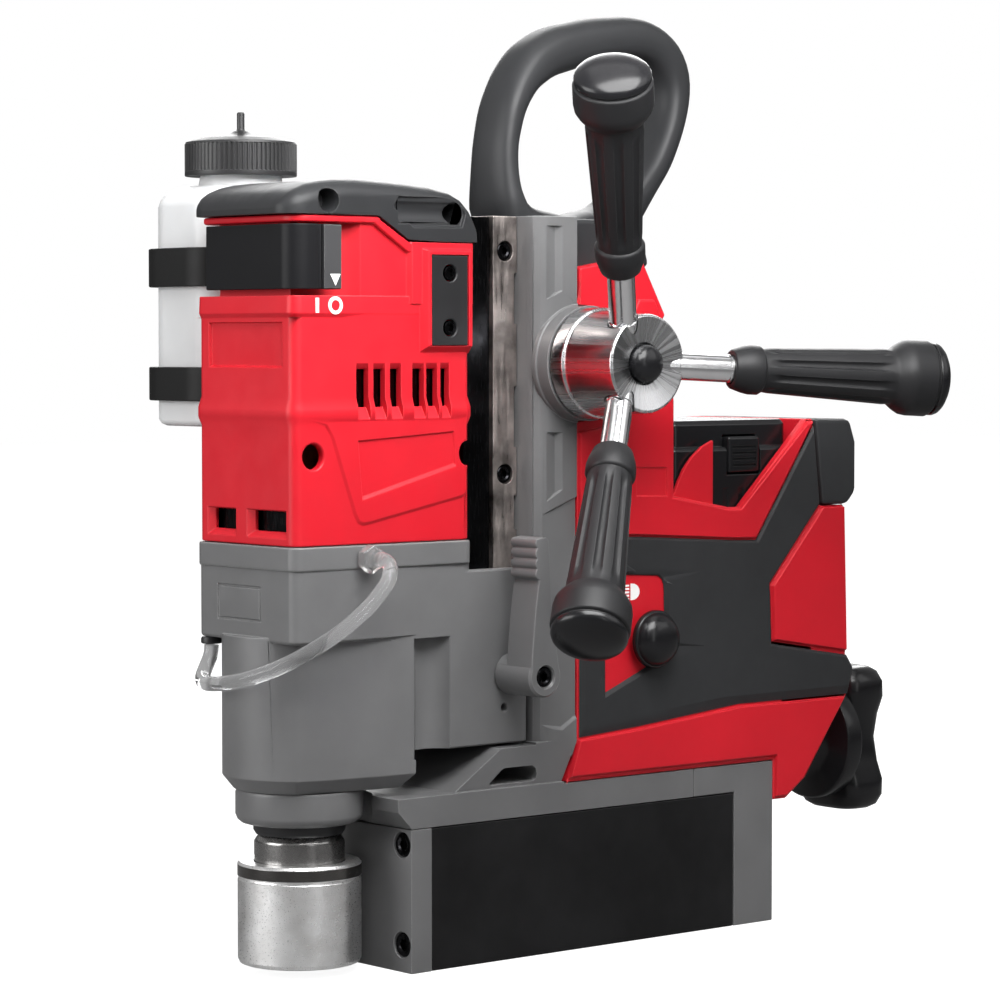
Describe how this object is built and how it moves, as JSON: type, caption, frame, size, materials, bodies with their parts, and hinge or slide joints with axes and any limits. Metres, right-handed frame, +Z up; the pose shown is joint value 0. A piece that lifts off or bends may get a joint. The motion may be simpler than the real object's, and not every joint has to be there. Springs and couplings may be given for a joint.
{
  "type": "magnetic drill press",
  "caption": "Battery magnetic drill press: switchable magnet base, sliding motor head, quick-change chuck, three-spoke rack feed, coolant bottle.",
  "frame": {"origin": "centre of the magnet's bottom face, on the work surface", "axes": "+Z up along the column, -Y towards the chuck, +X towards the feed hub"},
  "size_m": [0.2274, 0.3674, 0.3935],
  "materials": {
    "red_plastic": "saturated red moulded plastic, satin with a fine spark-eroded grain",
    "grey_casting": "painted grey die casting, fine sand texture, satin",
    "dark_overmould": "dark grey soft overmould, matte with fine grain",
    "black_plastic": "black moulded plastic, satin",
    "black_magnet": "black enamel over steel and magnet laminations",
    "bright_steel": "bright machined steel",
    "dark_steel": "ground and blackened steel",
    "black_steel": "black oxide steel",
    "polished_aluminium": "polished turned aluminium",
    "white_plastic": "translucent white blow-moulded plastic",
    "clear_tube": "clear flexible tube",
    "copper_winding": "enamelled copper winding",
    "green_board": "green circuit board"
  },
  "bodies": {
    "frame": {"frame_casting": "grey_casting", "magnet_body": "black_magnet", "magnet_front_plate": "grey_casting", "magnet_rear_plate": "grey_casting", "front_plate_screw_1": "black_steel", "front_plate_screw_2": "black_steel", "front_plate_screw_3": "black_steel", "front_plate_screw_4": "black_steel", "gib_rail_left": "dark_steel", "gib_rail_right": "dark_steel", "gib_screw_left_lower": "black_steel", "gib_screw_left_upper": "black_steel", "gib_screw_right_lower": "black_steel", "gib_screw_right_upper": "black_steel", "carry_handle": "dark_overmould", "rear_housing_left": "red_plastic", "rear_housing_right": "red_plastic", "overmould_left": "dark_overmould", "overmould_right": "dark_overmould", "rear_bumper": "dark_overmould", "control_board": "green_board", "pinion_bush": "dark_steel"},
    "head": {"gear_case": "grey_casting", "slide_bar": "black_steel", "feed_rack": "bright_steel", "motor_housing": "red_plastic", "top_cover": "dark_overmould", "side_plate": "black_plastic", "side_plate_screw_lower": "black_steel", "side_plate_screw_upper": "black_steel", "motor_stator": "copper_winding", "nose_ring": "grey_casting", "coolant_bottle": "white_plastic", "bottle_bracket": "black_plastic", "hose_fitting": "clear_tube", "hose_barb": "black_plastic", "coolant_hose": "clear_tube"},
    "spindle": {"spindle": "bright_steel"},
    "chuck": {"chuck_sleeve": "bright_steel"},
    "motor_rotor": {"motor_rotor": "bright_steel"},
    "motor_switch": {"motor_switch": "black_plastic"},
    "lock_lever": {"lock_lever": "grey_casting", "lock_lever_screw": "black_steel"},
    "bottle_cap": {"bottle_cap": "black_plastic"},
    "feed": {"pinion_shaft": "bright_steel", "feed_hub": "polished_aluminium", "hub_cap": "black_plastic", "feed_spoke_1": "bright_steel", "feed_spoke_2": "bright_steel", "feed_spoke_3": "bright_steel", "feed_grip_1": "black_plastic", "feed_grip_2": "black_plastic", "feed_grip_3": "black_plastic"},
    "magnet_lever": {"magnet_lever": "black_plastic", "lever_shaft": "bright_steel"},
    "magnet_rotor": {"magnet_rotor": "bright_steel"},
    "light_button": {"light_button": "black_plastic"},
    "battery": {"battery_pack": "black_plastic"},
    "latch_left": {"battery_latch_left": "dark_overmould"},
    "latch_right": {"battery_latch_right": "dark_overmould"}
  },
  "joints": [
    {"name": "head_slide", "type": "slide", "parent": "frame", "child": "head", "axis": [0, 0, 1], "range_m": [0, 0.146]},
    {"name": "feed_spin", "type": "hinge", "parent": "frame", "child": "feed", "pos_m": [0, -0.012, 0.2445], "axis": [1, 0, 0], "range_deg": [-400, 2]},
    {"name": "spindle_spin", "type": "hinge", "parent": "head", "child": "spindle", "pos_m": [0, -0.129, 0.06], "axis": [0, 0, 1], "continuous": true},
    {"name": "chuck_lift", "type": "slide", "parent": "spindle", "child": "chuck", "axis": [0, 0, 1], "range_m": [0, 0.006], "stiffness_N_per_m": 1200, "springref_m": -0.004},
    {"name": "motor_spin", "type": "hinge", "parent": "head", "child": "motor_rotor", "pos_m": [0, -0.1015, 0.2], "axis": [0, 0, 1], "continuous": true},
    {"name": "switch_slide", "type": "slide", "parent": "head", "child": "motor_switch", "axis": [-1, 0, 0], "range_m": [0, 0.005]},
    {"name": "lock_lever_turn", "type": "hinge", "parent": "head", "child": "lock_lever", "pos_m": [0.033, -0.046, 0.1175], "axis": [1, 0, 0], "range_deg": [0, 50]},
    {"name": "bottle_cap_turn", "type": "hinge", "parent": "head", "child": "bottle_cap", "pos_m": [-0.0653, -0.1095, 0.322], "axis": [0, 0, 1], "continuous": true},
    {"name": "magnet_lever_turn", "type": "hinge", "parent": "frame", "child": "magnet_lever", "pos_m": [0, 0.087, 0.072], "axis": [0, 1, 0], "range_deg": [0, 153]},
    {"name": "magnet_rotor_turn", "type": "hinge", "parent": "frame", "child": "magnet_rotor", "pos_m": [0, 0.087, 0.0315], "axis": [0, 1, 0], "range_deg": [-92, 2]},
    {"name": "light_button_press", "type": "slide", "parent": "frame", "child": "light_button", "axis": [-1, 0, 0], "range_m": [0, 0.0012], "stiffness_N_per_m": 600, "springref_m": -0.003},
    {"name": "battery_slide", "type": "slide", "parent": "frame", "child": "battery", "axis": [0, 0, 1], "range_m": [0, 0.07]},
    {"name": "latch_left_press", "type": "slide", "parent": "battery", "child": "latch_left", "axis": [1, 0, 0], "range_m": [0, 0.0035], "stiffness_N_per_m": 500, "springref_m": -0.003},
    {"name": "latch_right_press", "type": "slide", "parent": "battery", "child": "latch_right", "axis": [-1, 0, 0], "range_m": [0, 0.0035], "stiffness_N_per_m": 500, "springref_m": -0.003}
  ],
  "couplings": [
    {"joint": "feed_spin", "follows": "head_slide", "rad_per_m": -47.619},
    {"joint": "motor_spin", "follows": "spindle_spin", "ratio": -3.4},
    {"joint": "magnet_rotor_turn", "follows": "magnet_lever_turn", "ratio": -0.58824}
  ]
}
